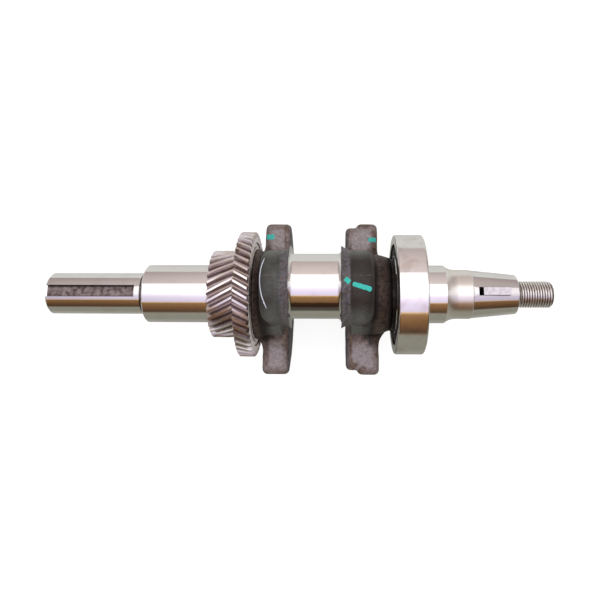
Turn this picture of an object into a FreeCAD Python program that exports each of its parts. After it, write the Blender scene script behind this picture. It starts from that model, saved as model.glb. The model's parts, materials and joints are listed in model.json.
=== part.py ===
import FreeCAD, Part
import math
import os
import Sketcher

# Single-throw forged engine crankshaft with two pressed helical gears, a 6207 ball bearing and a
# Woodruff key. Millimetres. X runs along the shaft from the power take-off end to the threaded
# end, Z goes through the crankpin, and the origin is the centre of the bearing's outer ring.
# Stations named *_x are measured along the shaft from the middle of the crankpin.

V = FreeCAD.Vector
DOC = FreeCAD.newDocument("crankshaft")

DIMENSIONS = [
    # layout
    ("pin_x", -54.2),             # middle of the crankpin, from the bearing centre
    ("throw_z", 32.0),            # half of the 64 mm stroke
    # power take-off side
    ("pto_end_x", -164.0),
    ("pto_rad", 12.5),
    ("pto_chamfer", 1.2),
    ("journal_left_x", -104.0),
    ("journal_rad", 17.5),
    ("journal_chamfer", 0.8),
    ("relief_depth", 0.35),
    ("relief_width", 1.6),
    ("relief_floor", 1.1),
    ("pto_key_end_x", -109.7),
    ("pto_key_width", 7.0),
    ("pto_key_floor", 8.5),
    ("pto_tap_rad", 4.0),
    ("pto_tap_depth", 24.0),
    ("pto_tap_point", 2.3),
    ("pto_tap_sink", 1.0),
    # gear seat and left boss
    ("seat_left_x", -64.2),
    ("seat_rad", 18.0),
    ("seat_lead", 0.6),
    ("timing_left_x", -63.3),
    ("gears_meet_x", -46.5),
    ("balancer_right_x", -37.4),
    ("left_boss_rad", 28.4),
    ("left_boss_waist_x", -32.5),
    ("left_boss_waist", 25.2),
    ("boss_chamfer", 1.0),
    ("web_bite", 3.0),            # how far the shafts run into the webs
    # crankpin
    ("pin_rad", 18.0),
    ("pin_half", 14.0),
    ("pin_fillet", 2.0),
    # webs round the pin
    ("lobe_rad", 20.0),
    ("lobe_foot_z", -14.0),
    ("collar_rad", 22.8),
    ("collar_waist", 20.6),
    ("collar_hollow", 0.45),      # how deep the cone of each collar is dished
    ("collar_skirt", 12.0),       # how far the collars run down the flanks
    ("left_lobe_x", -30.0),
    ("left_collar_x", -18.0),
    ("right_lobe_x", 31.9),
    ("right_collar_x", 19.2),
    ("lobe_round", 4.0),
    # counterweights
    ("weight_rad", 52.0),
    ("foot_sagitta", 0.9),
    ("sole_round", 30.0),
    ("weight_half", 48.1),
    ("weight_top_z", -12.0),
    ("weight_root_z", -9.2),
    ("weight_neck_z", 4.0),
    ("weight_neck", 19.6),
    ("foot_angle", 40.0),
    ("ear_round", 4.4),
    ("foot_round", 8.0),
    ("root_round", 5.5),
    ("left_weight_in_x", -18.1),
    ("left_weight_out_x", -34.9),
    ("right_weight_in_x", 16.8),
    ("right_weight_step_x", 23.8),
    ("right_weight_step_end_x", 33.0),
    ("right_weight_out_x", 37.6),
    ("step_drop", 2.7),
    ("weight_round", 3.2),
    # flares between the counterweights and the bosses
    ("left_flare_rad", 30.2),
    ("left_flare_top", 36.5),
    ("right_flare_rad", 24.3),
    ("right_flare_top", 31.5),
    ("right_flare_x", 42.6),
    ("flare_hollow", 0.9),
    ("flare_angle", 134.0),
    # flywheel side
    ("right_boss_rad", 24.6),
    ("right_boss_mid_x", 36.0),
    ("right_boss_small", 22.2),
    ("right_boss_end_x", 43.2),
    ("right_shoulder", 21.3),
    ("shoulder_step", 0.4),
    ("bearing_left_x", 45.7),
    ("land_end_x", 75.6),
    ("land_rad", 17.45),
    ("land_step_x", 0.2),
    ("land_start_x", 0.7),
    ("neck_start_x", 82.4),
    ("neck_rad", 14.8),
    ("neck_bend_x", 78.6),
    ("neck_bend_rad", 15.58),
    ("taper_start_x", 91.5),
    ("taper_big", 14.5),
    ("taper_end_x", 118.6),
    ("taper_small", 11.79),
    ("taper_edge", 0.4),
    ("thread_start_x", 120.6),
    ("thread_end_x", 140.1),
    ("thread_core", 7.1),
    ("thread_rad", 7.95),
    ("thread_chamfer", 1.2),
    ("thread_lead", 0.5),
    ("thread_pitch", 1.5),
    ("thread_depth", 0.85),
    ("thread_mouth", 0.69),       # half of the groove's width a little above the crests
    ("thread_above", 0.12),
    ("thread_overrun", 1.0),
    ("centre_hole", 1.44),
    ("centre_mouth", 3.8),
    ("centre_cone", 3.6),
    ("centre_depth", 7.5),
    ("centre_point", 0.8),
    # Woodruff key
    ("key_width", 5.0),
    ("key_disc_rad", 8.0),
    ("key_height", 6.5),
    ("key_centre_x", 104.8),
    ("key_centre_z", 16.6),
    ("seat_travel", 2.7),
    # helical gears
    ("gear_module", 1.5),
    ("timing_teeth", 30),
    ("timing_tip", 26.4),
    ("timing_root", 23.0),
    ("timing_turn", -20.0),       # turn of the teeth across the face, degrees
    ("balancer_teeth", 44),
    ("balancer_tip", 37.8),
    ("balancer_root", 34.4),
    ("balancer_turn", 7.9),
    ("gear_chamfer", 0.5),
    ("balancer_face_rad", 31.5),
    ("balancer_recess", 0.6),
    ("pressure_angle", 21.5),
    # 6207 bearing
    ("bearing_half", 8.5),
    ("bearing_rad", 36.0),
    ("outer_shoulder", 30.5),
    ("inner_shoulder", 23.45),
    ("bearing_corner", 1.1),
    ("ring_edge", 0.3),
    ("inner_corner", 0.8),
    ("ball_rad", 5.55),
    ("ball_circle", 26.75),
    ("ball_count", 9),
    ("groove_rad", 5.78),
    ("race_gap", 0.012),
    ("cage_in", 24.0),
    ("cage_out", 29.9),
    ("cage_left", -7.6),
    ("cage_right", 4.2),
    ("cage_pocket", 5.75),
]

DIM = DOC.addObject("Spreadsheet::Sheet", "Dim")
for row, (alias, number) in enumerate(DIMENSIONS, start=1):
    DIM.set("A%d" % row, alias)
    DIM.set("B%d" % row, str(number))
    DIM.setAlias("B%d" % row, alias)
DOC.recompute()


def size(alias):
    return float(DIM.get(alias))


def sta(alias):
    # position along X of a station measured from the crankpin
    return "Dim.pin_x + Dim." + alias


def new_body(name, label):
    body = DOC.addObject("PartDesign::Body", name)
    body.Label = label
    return body


def plane_sketch(body, name, role, lift=None):
    # a sketch on one of the body's own origin planes, lifted off it by the expression lift
    sketch = body.newObject("Sketcher::SketchObject", name)
    plane = [f for f in body.Origin.OriginFeatures if f.Role == role][0]
    sketch.AttachmentSupport = [(plane, "")]
    sketch.MapMode = "FlatFace"
    if lift is not None:
        sketch.setExpression("AttachmentOffset.Base.z", lift)
    DOC.recompute()
    return sketch


def pin_point(sketch, curve, end, name, horizontal, vertical):
    # fix one vertex by two dimensions bound to the sheet
    for kind, axis, expression in (("DistanceX", "h", horizontal), ("DistanceY", "v", vertical)):
        value = DIM.evalExpression(expression)
        if abs(value) < 1e-9:
            other = -2 if kind == "DistanceX" else -1
            sketch.addConstraint(Sketcher.Constraint("PointOnObject", curve, end, other))
            continue
        index = sketch.addConstraint(Sketcher.Constraint(kind, -1, 1, curve, end, value))
        sketch.renameConstraint(index, name + axis)
        sketch.setExpression("Constraints." + name + axis, expression)


def outline(sketch, points, arcs=None):
    # closed outline through the points; arcs maps an edge number to a point half way along it
    arcs = arcs or {}
    first = sketch.GeometryCount
    flat = [V(DIM.evalExpression(h), DIM.evalExpression(v), 0) for h, v in points]
    count = len(flat)
    ends = []
    bulges = []
    for i in range(count):
        start = flat[i]
        stop = flat[(i + 1) % count]
        if i in arcs:
            via = V(DIM.evalExpression(arcs[i][0]), DIM.evalExpression(arcs[i][1]), 0)
            forward = (via - start).cross(stop - via).z > 0
            curve = Part.Arc(start, via, stop) if forward else Part.Arc(stop, via, start)
            index = sketch.addGeometry(curve, False)
            placed = sketch.Geometry[index]
            ends.append((index, 1, 2) if forward else (index, 2, 1))
            bulges.append((index, placed.Center, abs(stop.x - start.x) >= abs(stop.y - start.y)))
        else:
            index = sketch.addGeometry(Part.LineSegment(start, stop), False)
            ends.append((index, 1, 2))
    for i in range(count):
        after = ends[(i + 1) % count]
        sketch.addConstraint(Sketcher.Constraint("Coincident", ends[i][0], ends[i][2], after[0], after[1]))
    for i in range(count):
        pin_point(sketch, ends[i][0], ends[i][1], "p%d_" % (first + i), points[i][0], points[i][1])
    # an arc between two fixed ends keeps one coordinate of its centre
    for index, centre, level in bulges:
        kind = "DistanceY" if level else "DistanceX"
        value = centre.y if level else centre.x
        if abs(value) < 1e-9:
            sketch.addConstraint(Sketcher.Constraint("PointOnObject", index, 3, -1 if level else -2))
        else:
            sketch.addConstraint(Sketcher.Constraint(kind, -1, 1, index, 3, value))
    DOC.recompute()
    return sketch


def revolve(body, name, sketch, kind="PartDesign::Revolution", axis="H_Axis"):
    feature = body.newObject(kind, name)
    feature.Profile = sketch
    feature.ReferenceAxis = (sketch, [axis])
    feature.Angle = 360.0
    sketch.Visibility = False
    DOC.recompute()
    return feature


def pad(body, name, sketch, length, kind="PartDesign::Pad", reverse=False, middle=False):
    before = body.Shape.Volume if body.Shape and not body.Shape.isNull() else 0.0
    feature = body.newObject(kind, name)
    feature.Profile = sketch
    feature.setExpression("Length", length)
    feature.Reversed = reverse
    feature.Midplane = middle
    sketch.Visibility = False
    DOC.recompute()
    change = feature.Shape.Volume - before
    if abs(change) < 0.5:
        raise RuntimeError(name + " changes nothing")
    return feature


def edges_where(shape, test):
    return ["Edge%d" % (i + 1) for i, edge in enumerate(shape.Edges) if test(edge)]


def round_edges(body, name, base, test, radius):
    names = edges_where(base.Shape, test)
    feature = body.newObject("PartDesign::Fillet", name)
    feature.Base = (base, names)
    feature.setExpression("Radius", radius)
    DOC.recompute()
    if feature.Shape.isNull() or not feature.Shape.isValid() or not names:
        raise RuntimeError(name + " failed on %d edges" % len(names))
    return feature


# ---------------------------------------------------------------- crankshaft forging
crank = new_body("CrankBody", "crankshaft_forging")

left_profile = plane_sketch(crank, "LeftShaftProfile", "XZ_Plane")
outline(left_profile, [
    (sta("pto_end_x"), "0"),
    (sta("pto_end_x"), "Dim.pto_rad - Dim.pto_chamfer"),
    (sta("pto_end_x") + " + Dim.pto_chamfer", "Dim.pto_rad"),
    (sta("journal_left_x") + " - Dim.relief_width", "Dim.pto_rad"),
    (sta("journal_left_x") + " - Dim.relief_floor", "Dim.pto_rad - Dim.relief_depth"),
    (sta("journal_left_x"), "Dim.pto_rad - Dim.relief_depth"),
    (sta("journal_left_x"), "Dim.journal_rad - Dim.journal_chamfer"),
    (sta("journal_left_x") + " + Dim.journal_chamfer", "Dim.journal_rad"),
    (sta("seat_left_x"), "Dim.journal_rad"),
    (sta("seat_left_x") + " + Dim.seat_lead", "Dim.seat_rad"),
    (sta("balancer_right_x"), "Dim.seat_rad"),
    (sta("balancer_right_x"), "Dim.left_boss_rad - Dim.boss_chamfer"),
    (sta("balancer_right_x") + " + Dim.boss_chamfer", "Dim.left_boss_rad"),
    (sta("left_boss_waist_x"), "Dim.left_boss_waist"),
    (sta("left_weight_in_x") + " - Dim.web_bite", "Dim.left_boss_waist"),
    (sta("left_weight_in_x") + " - Dim.web_bite", "0"),
])
revolve(crank, "LeftShaft", left_profile)

right_profile = plane_sketch(crank, "RightShaftProfile", "XZ_Plane")
outline(right_profile, [
    (sta("right_weight_in_x") + " + Dim.web_bite", "0"),
    (sta("right_weight_in_x") + " + Dim.web_bite", "Dim.right_boss_rad"),
    (sta("right_boss_mid_x"), "Dim.right_boss_rad"),
    (sta("right_boss_end_x"), "Dim.right_boss_small"),
    (sta("right_boss_end_x") + " + Dim.shoulder_step", "Dim.right_shoulder"),
    (sta("bearing_left_x"), "Dim.right_shoulder"),
    (sta("bearing_left_x"), "Dim.journal_rad"),
    ("Dim.bearing_half + Dim.land_step_x", "Dim.journal_rad"),
    ("Dim.bearing_half + Dim.land_start_x", "Dim.land_rad"),
    (sta("land_end_x"), "Dim.land_rad"),
    (sta("neck_start_x"), "Dim.neck_rad"),
    (sta("taper_start_x") + " - Dim.taper_edge", "Dim.neck_rad"),
    (sta("taper_start_x"), "Dim.taper_big"),
    (sta("taper_end_x") + " - Dim.taper_edge", "Dim.taper_small"),
    (sta("taper_end_x"), "Dim.taper_small - Dim.taper_edge"),
    (sta("taper_end_x"), "Dim.thread_core"),
    (sta("thread_start_x") + " - Dim.thread_lead", "Dim.thread_core"),
    (sta("thread_start_x") + " + Dim.thread_lead", "Dim.thread_rad"),
    (sta("thread_end_x") + " - Dim.thread_chamfer", "Dim.thread_rad"),
    (sta("thread_end_x"), "Dim.thread_rad - Dim.thread_chamfer"),
    (sta("thread_end_x"), "0"),
], {9: (sta("neck_bend_x"), "Dim.neck_bend_rad")})
revolve(crank, "RightShaft", right_profile)


def pin_spot(side, out, up):
    # a point of the crankpin profile: out along the shaft from the pin's middle, up from its axis
    return ("Dim.pin_x %s (%s)" % ("-" if side < 0 else "+", out), "Dim.throw_z + " + up)


# crankpin with a dished conical collar at each end
pin_profile = plane_sketch(crank, "CrankpinProfile", "XZ_Plane")
left_out = "-Dim.left_collar_x"
right_out = "Dim.right_collar_x"
corner_share = "Dim.pin_fillet * (1 - sqrt(0.5))"
cone_middle = "(Dim.collar_rad + Dim.collar_waist) / 2 - Dim.collar_hollow"
outline(pin_profile, [
    pin_spot(-1, left_out + " + Dim.web_bite", "0"),
    pin_spot(-1, left_out + " + Dim.web_bite", "Dim.lobe_rad - Dim.boss_chamfer"),
    pin_spot(-1, left_out, "Dim.lobe_rad - Dim.boss_chamfer"),
    pin_spot(-1, left_out, "Dim.collar_waist"),
    pin_spot(-1, "Dim.pin_half", "Dim.collar_rad"),
    pin_spot(-1, "Dim.pin_half", "Dim.pin_rad + Dim.pin_fillet"),
    pin_spot(-1, "Dim.pin_half - Dim.pin_fillet", "Dim.pin_rad"),
    pin_spot(1, "Dim.pin_half - Dim.pin_fillet", "Dim.pin_rad"),
    pin_spot(1, "Dim.pin_half", "Dim.pin_rad + Dim.pin_fillet"),
    pin_spot(1, "Dim.pin_half", "Dim.collar_rad"),
    pin_spot(1, right_out, "Dim.collar_waist"),
    pin_spot(1, right_out, "Dim.lobe_rad - Dim.boss_chamfer"),
    pin_spot(1, right_out + " + Dim.web_bite", "Dim.lobe_rad - Dim.boss_chamfer"),
    pin_spot(1, right_out + " + Dim.web_bite", "0"),
], {
    3: pin_spot(-1, "(Dim.pin_half + %s) / 2" % left_out, cone_middle),
    5: pin_spot(-1, "Dim.pin_half - " + corner_share, "Dim.pin_rad + " + corner_share),
    7: pin_spot(1, "Dim.pin_half - " + corner_share, "Dim.pin_rad + " + corner_share),
    9: pin_spot(1, "(Dim.pin_half + %s) / 2" % right_out, cone_middle),
})
axis_half = size("right_lobe_x")
pin_axis = pin_profile.addGeometry(Part.LineSegment(
    V(size("pin_x") - axis_half, size("throw_z"), 0), V(size("pin_x") + axis_half, size("throw_z"), 0)), True)
pin_profile.addConstraint(Sketcher.Constraint("Horizontal", pin_axis))
pin_profile.addConstraint(Sketcher.Constraint("PointOnObject", 0, 1, pin_axis))
DOC.recompute()
revolve(crank, "Crankpin", pin_profile, axis="Axis0")


def lobe_outline(sketch):
    # web section round the pin: a half circle over two straight flanks
    outline(sketch, [
        ("-Dim.lobe_rad", "Dim.lobe_foot_z"),
        ("-Dim.lobe_rad", "Dim.throw_z"),
        ("Dim.lobe_rad", "Dim.throw_z"),
        ("Dim.lobe_rad", "Dim.lobe_foot_z"),
    ], {1: ("0", "Dim.throw_z + Dim.lobe_rad")})


def weight_outline(sketch, trim):
    # counterweight section: two ears reaching out from the web, closed by a circular foot with a
    # small flat at its lowest point, on which the crankshaft stands
    rad = "(Dim.weight_rad - %s)" % trim
    edge_y = "(Dim.weight_half - %s)" % trim
    edge_z = "-sqrt(%s^2 - %s^2)" % (rad, edge_y)
    slope = "(Dim.weight_top_z - Dim.weight_root_z) / (Dim.weight_half - Dim.weight_neck)"
    top_z = "Dim.weight_root_z + %s * (%s - Dim.weight_neck)" % (slope, edge_y)
    flat_z = "-(%s - Dim.foot_sagitta)" % rad
    flat_y = "sqrt(%s^2 - (%s - Dim.foot_sagitta)^2)" % (rad, rad)
    foot_y = rad + " * sin(Dim.foot_angle * 1 deg)"
    foot_z = "-" + rad + " * cos(Dim.foot_angle * 1 deg)"
    outline(sketch, [
        ("-Dim.weight_neck", "Dim.weight_neck_z"),
        ("Dim.weight_neck", "Dim.weight_neck_z"),
        ("Dim.weight_neck", "Dim.weight_root_z"),
        (edge_y, top_z),
        (edge_y, edge_z),
        (flat_y, flat_z),
        ("-" + flat_y, flat_z),
        ("-" + edge_y, edge_z),
        ("-" + edge_y, top_z),
        ("-Dim.weight_neck", "Dim.weight_root_z"),
    ], {4: (foot_y, foot_z), 6: ("-" + foot_y, foot_z)})


def ear_top(y):
    # height of the ears' sloping top at a distance y from the middle
    slope = (size("weight_top_z") - size("weight_root_z")) / (size("weight_half") - size("weight_neck"))
    return size("weight_root_z") + slope * (y - size("weight_neck"))


def at_station(edge, alias, tolerance=0.05):
    # an edge lying in the plane across the shaft at one station
    box = edge.BoundBox
    return box.XLength < tolerance and abs(box.XMin - size("pin_x") - size(alias)) < tolerance


def along_shaft(edge, y, z, tolerance=0.3):
    # an edge parallel to the shaft that passes through (y, z) on either side
    box = edge.BoundBox
    if box.XLength < 2 or box.YLength > 0.2 or box.ZLength > 0.2:
        return False
    return abs(abs(box.Center.y) - y) < tolerance and abs(box.Center.z - z) < tolerance


def weight_body(tag, start, stop, trim):
    # one forged counterweight, all its edges rounded before it joins the crank
    body = new_body(tag + "Body", tag)
    sketch = plane_sketch(body, tag + "Section", "YZ_Plane", sta(start))
    weight_outline(sketch, trim)
    block = pad(body, tag + "Pad", sketch, "Dim.%s - Dim.%s" % (stop, start))
    rad = size("weight_rad") - DIM.evalExpression(trim)
    half = size("weight_half") - DIM.evalExpression(trim)
    sole = rad - size("foot_sagitta")
    corners = [
        ("Ear", half, ear_top(half), "ear_round"),
        ("Foot", half, -math.sqrt(rad ** 2 - half ** 2), "foot_round"),
        ("Sole", math.sqrt(rad ** 2 - sole ** 2), -sole, "sole_round"),
        ("Root", size("weight_neck"), size("weight_root_z"), "root_round"),
    ]
    for name, y, z, radius in corners:
        block = round_edges(body, tag + name, block, lambda e: along_shaft(e, y, z), "Dim." + radius)
    neck = size("weight_neck_z")
    for side, alias in (("Near", start), ("Far", stop)):
        block = round_edges(body, tag + side, block,
                            lambda e: at_station(e, alias) and e.BoundBox.ZMin < neck - 1, "Dim.weight_round")
    return body


def lobe_rim(edge):
    # the round outer edge of a lobe's end face, and the two flanks that run down from it
    if not (at_station(edge, "left_lobe_x") or at_station(edge, "right_lobe_x")):
        return False
    middle = edge.valueAt((edge.FirstParameter + edge.LastParameter) / 2)
    from_pin = math.hypot(middle.y, middle.z - size("throw_z"))
    return middle.z > 0 and from_pin > size("lobe_rad") - 0.5


def flare(tag, far_x, far_rad, face_x, face_rad):
    # dished cone round the underside of a boss, from the boss out to its counterweight
    inside = "Dim.web_bite" if size(face_x) < 0 else "-Dim.web_bite"
    sketch = plane_sketch(crank, tag + "Profile", "XZ_Plane")
    outline(sketch, [
        (sta(far_x), "-(Dim.%s - 2 * Dim.web_bite)" % far_rad),
        (sta(far_x), "-Dim." + far_rad),
        (sta(face_x), "-Dim." + face_rad),
        (sta(face_x) + " + " + inside, "-Dim." + face_rad),
        (sta(face_x) + " + " + inside, "-(Dim.%s - 2 * Dim.web_bite)" % far_rad),
    ], {1: ("Dim.pin_x + (Dim.%s + Dim.%s) / 2" % (far_x, face_x),
            "-((Dim.%s + Dim.%s) / 2 - Dim.flare_hollow)" % (far_rad, face_rad))})
    feature = revolve(crank, tag, sketch)
    feature.Midplane = True
    feature.setExpression("Angle", "Dim.flare_angle")
    DOC.recompute()


# the collars keep their dished cone a little way down the flanks
skirt = plane_sketch(crank, "CollarSkirtSection", "XY_Plane", "Dim.throw_z")
for side, out in ((-1, left_out), (1, right_out)):
    for sign in ("", "-"):
        points = [("Dim.pin_half", "Dim.collar_rad"), (out, "Dim.collar_waist"),
                  (out, "Dim.pin_rad"), ("Dim.pin_half", "Dim.pin_rad")]
        middle = ("(Dim.pin_half + %s) / 2" % out, cone_middle)
        places = [("Dim.pin_x %s (%s)" % ("-" if side < 0 else "+", x), sign + "(%s)" % y)
                  for x, y in points + [middle]]
        outline(skirt, places[:4], {0: places[4]})
pad(crank, "CollarSkirt", skirt, "Dim.collar_skirt", reverse=True)

lobes = [("LeftLobe", "left_lobe_x", "left_collar_x"), ("RightLobe", "right_collar_x", "right_lobe_x")]
for tag, start, stop in lobes:
    section = plane_sketch(crank, tag + "Section", "YZ_Plane", sta(start))
    lobe_outline(section)
    pad(crank, tag, section, "Dim.%s - Dim.%s" % (stop, start))
round_edges(crank, "LobeRound", crank.Tip, lobe_rim, "Dim.lobe_round")
flare("LeftFlare", "balancer_right_x", "left_flare_rad", "left_weight_out_x", "left_flare_top")
flare("RightFlare", "right_flare_x", "right_flare_rad", "right_weight_out_x", "right_flare_top")
weights = [
    weight_body("LeftWeight", "left_weight_out_x", "left_weight_in_x", "0"),
    weight_body("RightWeight", "right_weight_step_x", "right_weight_out_x", "0"),
    weight_body("RightStep", "right_weight_in_x", "right_weight_step_end_x", "Dim.step_drop"),
]
for block in weights:
    join = crank.newObject("PartDesign::Boolean", "Join" + block.Label)
    join.Type = "Fuse"
    join.setObjects([block])
    DOC.recompute()

pto_key = plane_sketch(crank, "PtoKeywaySection", "XY_Plane", "Dim.pto_rad + 2")
outline(pto_key, [
    (sta("pto_end_x") + " - Dim.web_bite", "-Dim.pto_key_width / 2"),
    (sta("pto_key_end_x"), "-Dim.pto_key_width / 2"),
    (sta("pto_key_end_x"), "Dim.pto_key_width / 2"),
    (sta("pto_end_x") + " - Dim.web_bite", "Dim.pto_key_width / 2"),
])
pad(crank, "PtoKeyway", pto_key, "Dim.pto_rad + 2 - Dim.pto_key_floor", "PartDesign::Pocket")

# the cutter that made the key seat travelled a little towards the big end of the taper
seat = plane_sketch(crank, "KeySeatSection", "XZ_Plane")
seat_low = "Dim.key_centre_z - Dim.key_disc_rad"
swing = "Dim.key_disc_rad * sqrt(0.5)"
outline(seat, [
    (sta("key_centre_x") + " - Dim.seat_travel - Dim.key_disc_rad", "Dim.key_centre_z"),
    (sta("key_centre_x") + " - Dim.seat_travel", seat_low),
    (sta("key_centre_x"), seat_low),
    (sta("key_centre_x") + " + Dim.key_disc_rad", "Dim.key_centre_z"),
], {
    0: (sta("key_centre_x") + " - Dim.seat_travel - " + swing, "Dim.key_centre_z - " + swing),
    2: (sta("key_centre_x") + " + " + swing, "Dim.key_centre_z - " + swing),
})
pad(crank, "KeySeat", seat, "Dim.key_width", "PartDesign::Pocket", middle=True)

# tapped hole of the power take-off end and centre hole of the threaded end
tap = plane_sketch(crank, "PtoTapProfile", "XZ_Plane")
outline(tap, [
    (sta("pto_end_x"), "0"),
    (sta("pto_end_x"), "Dim.pto_tap_rad + Dim.pto_tap_sink"),
    (sta("pto_end_x") + " + Dim.pto_tap_sink", "Dim.pto_tap_rad"),
    (sta("pto_end_x") + " + Dim.pto_tap_depth", "Dim.pto_tap_rad"),
    (sta("pto_end_x") + " + Dim.pto_tap_depth + Dim.pto_tap_point", "0"),
])
revolve(crank, "PtoTap", tap, "PartDesign::Groove")
centre = plane_sketch(crank, "CentreHoleProfile", "XZ_Plane")
outline(centre, [
    (sta("thread_end_x"), "0"),
    (sta("thread_end_x"), "Dim.centre_mouth"),
    (sta("thread_end_x") + " - Dim.centre_cone", "Dim.centre_hole"),
    (sta("thread_end_x") + " - Dim.centre_depth", "Dim.centre_hole"),
    (sta("thread_end_x") + " - Dim.centre_depth - Dim.centre_point", "0"),
])
revolve(crank, "CentreHole", centre, "PartDesign::Groove")

# V groove of the M16 x 1.5 thread, one notch carried along a helix
notch = plane_sketch(crank, "ThreadNotch", "XZ_Plane")
notch_x = sta("thread_start_x") + " - Dim.thread_overrun"
outline(notch, [
    (notch_x + " - Dim.thread_mouth", "Dim.thread_rad + Dim.thread_above"),
    (notch_x, "Dim.thread_rad - Dim.thread_depth"),
    (notch_x + " + Dim.thread_mouth", "Dim.thread_rad + Dim.thread_above"),
])
before_thread = crank.Shape.Volume
thread = crank.newObject("PartDesign::SubtractiveHelix", "Thread")
thread.Profile = notch
thread.ReferenceAxis = (notch, ["H_Axis"])
thread.Mode = 0
thread.setExpression("Pitch", "Dim.thread_pitch")
thread.setExpression("Height", "Dim.thread_end_x - Dim.thread_start_x + 2.2 * Dim.thread_overrun")
DOC.recompute()
if before_thread - crank.Shape.Volume < 100:
    raise RuntimeError("the thread cuts nothing")


# ---------------------------------------------------------------- helical gears
def tooth_ring(x, turn, teeth, tip, root):
    # closed transverse outline of all the teeth at one station, flanks as arcs close to involutes
    outer = tip + 0.4 * size("gear_module")
    pitch_rad = (tip + root) / 2 + 0.15 * size("gear_module")
    pressure = math.radians(size("pressure_angle"))
    base_rad = pitch_rad * math.cos(pressure)

    def half_gap(radius):
        angle = math.acos(min(1.0, base_rad / max(radius, base_rad)))
        return math.pi / (2 * teeth) - (math.tan(pressure) - pressure) + math.tan(angle) - angle

    def spot(radius, angle):
        return V(x, -radius * math.sin(angle), radius * math.cos(angle))

    middle = (root + outer) / 2
    foot, waist, crest = [half_gap(radius) for radius in (root, middle, outer)]
    pitch = 2 * math.pi / teeth
    edges = []
    for tooth in range(teeth):
        gap = math.radians(turn) + pitch * tooth
        after = gap + pitch
        arcs = [
            (spot(root, gap - foot), spot(root - 0.2, gap), spot(root, gap + foot)),
            (spot(root, gap + foot), spot(middle, gap + waist), spot(outer, gap + crest)),
            (spot(outer, gap + crest), spot(outer, gap + pitch / 2), spot(outer, after - crest)),
            (spot(outer, after - crest), spot(middle, after - waist), spot(root, after - foot)),
        ]
        edges += [Part.Arc(*arc).toShape() for arc in arcs]
    return Part.Wire(edges)


def helical_gear(tag, label, left, right, recess):
    # a turned blank with its bore and chamfers, then the helical teeth taken from a loft
    name = tag.lower()
    body = new_body(tag + "Body", label + "_blank")
    profile = plane_sketch(body, tag + "Blank", "XZ_Plane")
    tip = "Dim.%s_tip" % name
    points = [
        (sta(left), "Dim.seat_rad"),
        (sta(left), tip + " - Dim.gear_chamfer * 1.6"),
        (sta(left) + " + Dim.gear_chamfer", tip),
        (sta(right) + " - Dim.gear_chamfer", tip),
        (sta(right), tip + " - Dim.gear_chamfer * 1.6"),
    ]
    if recess:
        floor_x = sta(right) + " - Dim." + recess
        points += [
            (sta(right), "Dim.balancer_face_rad"),
            (floor_x, "Dim.balancer_face_rad - Dim." + recess),
            (floor_x, "Dim.left_boss_rad + Dim." + recess),
            (sta(right), "Dim.left_boss_rad"),
        ]
    points.append((sta(right), "Dim.seat_rad"))
    outline(profile, points)
    revolve(body, tag + "Disc", profile)
    start = size("pin_x") + size(left)
    width = size(right) - size(left)
    # the loft starts and ends a twentieth of the face width beyond the blank
    rings = []
    for share in (-0.05, 0.225, 0.5, 0.775, 1.05):
        rings.append(tooth_ring(start + width * share, size(name + "_turn") * share,
                                int(size(name + "_teeth")), size(name + "_tip"), size(name + "_root")))
    gear = DOC.addObject("Part::Feature", tag + "Gear")
    gear.Label = label
    gear.Shape = body.Shape.common(Part.makeLoft(rings, True, False))
    body.Visibility = False
    return gear


timing = helical_gear("Timing", "timing_gear", "timing_left_x", "gears_meet_x", None)
balancer = helical_gear("Balancer", "balancer_gear", "gears_meet_x", "balancer_right_x", "balancer_recess")

# ---------------------------------------------------------------- 6207 bearing
half = "Dim.bearing_half"
corner = "Dim.bearing_corner"
outer = new_body("OuterRingBody", "bearing_outer_ring")
ring_profile = plane_sketch(outer, "OuterRingProfile", "XZ_Plane")
reach = "sqrt(Dim.groove_rad^2 - (Dim.ball_circle + Dim.ball_rad + Dim.race_gap - Dim.groove_rad" \
        " - Dim.outer_shoulder)^2)"
outline(ring_profile, [
    ("-" + half, "Dim.outer_shoulder + Dim.ring_edge"),
    ("-" + half, "Dim.bearing_rad - " + corner),
    ("-" + half + " + " + corner, "Dim.bearing_rad"),
    (half + " - " + corner, "Dim.bearing_rad"),
    (half, "Dim.bearing_rad - " + corner),
    (half, "Dim.outer_shoulder + Dim.ring_edge"),
    (half + " - Dim.ring_edge", "Dim.outer_shoulder"),
    (reach, "Dim.outer_shoulder"),
    ("-" + reach, "Dim.outer_shoulder"),
    ("-" + half + " + Dim.ring_edge", "Dim.outer_shoulder"),
], {
    1: ("-" + half + " + " + corner + " * 0.3", "Dim.bearing_rad - " + corner + " * 0.3"),
    3: (half + " - " + corner + " * 0.3", "Dim.bearing_rad - " + corner + " * 0.3"),
    7: ("0", "Dim.ball_circle + Dim.ball_rad + Dim.race_gap"),
})
revolve(outer, "OuterRing", ring_profile)

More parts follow.
